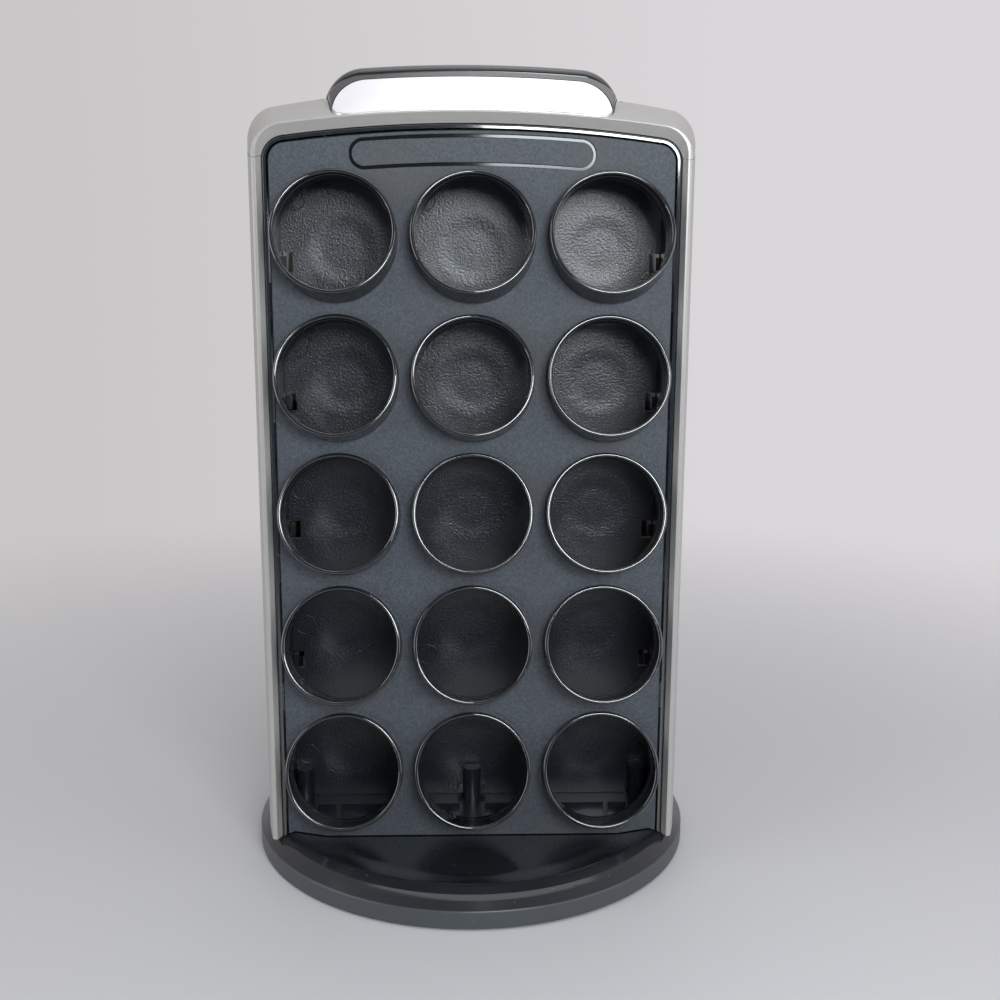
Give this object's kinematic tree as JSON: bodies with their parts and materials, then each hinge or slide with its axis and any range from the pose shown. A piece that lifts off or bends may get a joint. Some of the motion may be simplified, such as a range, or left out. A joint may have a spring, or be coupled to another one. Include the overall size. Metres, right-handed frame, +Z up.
{
  "type": "coffee pod carousel",
  "caption": "Two-faced tower of tilted collars for single-serve coffee pods, with silver covers and a low top handle, turning on a round dark base.",
  "frame": {"origin": "on the turntable's axis, at the level that the rubber feet stand on", "axes": "+Z up along the turntable's axis, -Y out of the front panel, +X to the right of someone facing it"},
  "size_m": [0.2024, 0.2024, 0.3539],
  "materials": {
    "base_plastic": "semi-gloss",
    "under_plastic": "matte",
    "rubber": "matte",
    "steel": "zinc plated",
    "acetal": "matte",
    "panel_plastic": "satin, fine texture",
    "core_plastic": "spark-eroded texture",
    "silver_paint": "silver paint, satin",
    "plate_silver": "bright silver",
    "gloss_black": "gloss"
  },
  "bodies": {
    "base": {"base_disc": "base_plastic", "base_underplate": "under_plastic", "underplate_screws": "steel", "foot_pads": "rubber", "lower_race": "steel", "hub_bush": "acetal"},
    "ball_ring": {"ball_cage": "acetal", "bearing_balls": "steel"},
    "tower": {"upper_race": "steel", "retaining_ring": "steel", "floor_screws": "steel", "cap_screws": "steel", "spine_screws": "steel", "bezel_screws": "steel", "retaining_washer": "acetal", "front_panel": "panel_plastic", "rear_panel": "panel_plastic", "core_frame": "core_plastic", "tower_floor": "core_plastic", "left_side_shell": "silver_paint", "right_side_shell": "silver_paint", "top_cap": "silver_paint", "front_handle_plate": "plate_silver", "rear_handle_plate": "plate_silver", "handle_spine": "gloss_black", "front_handle_bezel": "gloss_black", "rear_handle_bezel": "gloss_black"}
  },
  "joints": [
    {"name": "tower_turn", "type": "hinge", "parent": "base", "child": "tower", "pos_m": [0, 0, 0.0134], "axis": [0, 0, 1], "continuous": true},
    {"name": "ball_ring_turn", "type": "hinge", "parent": "base", "child": "ball_ring", "pos_m": [0, 0, 0.0111], "axis": [0, 0, 1], "continuous": true}
  ],
  "couplings": [
    {"joint": "ball_ring_turn", "follows": "tower_turn", "ratio": 0.5}
  ]
}
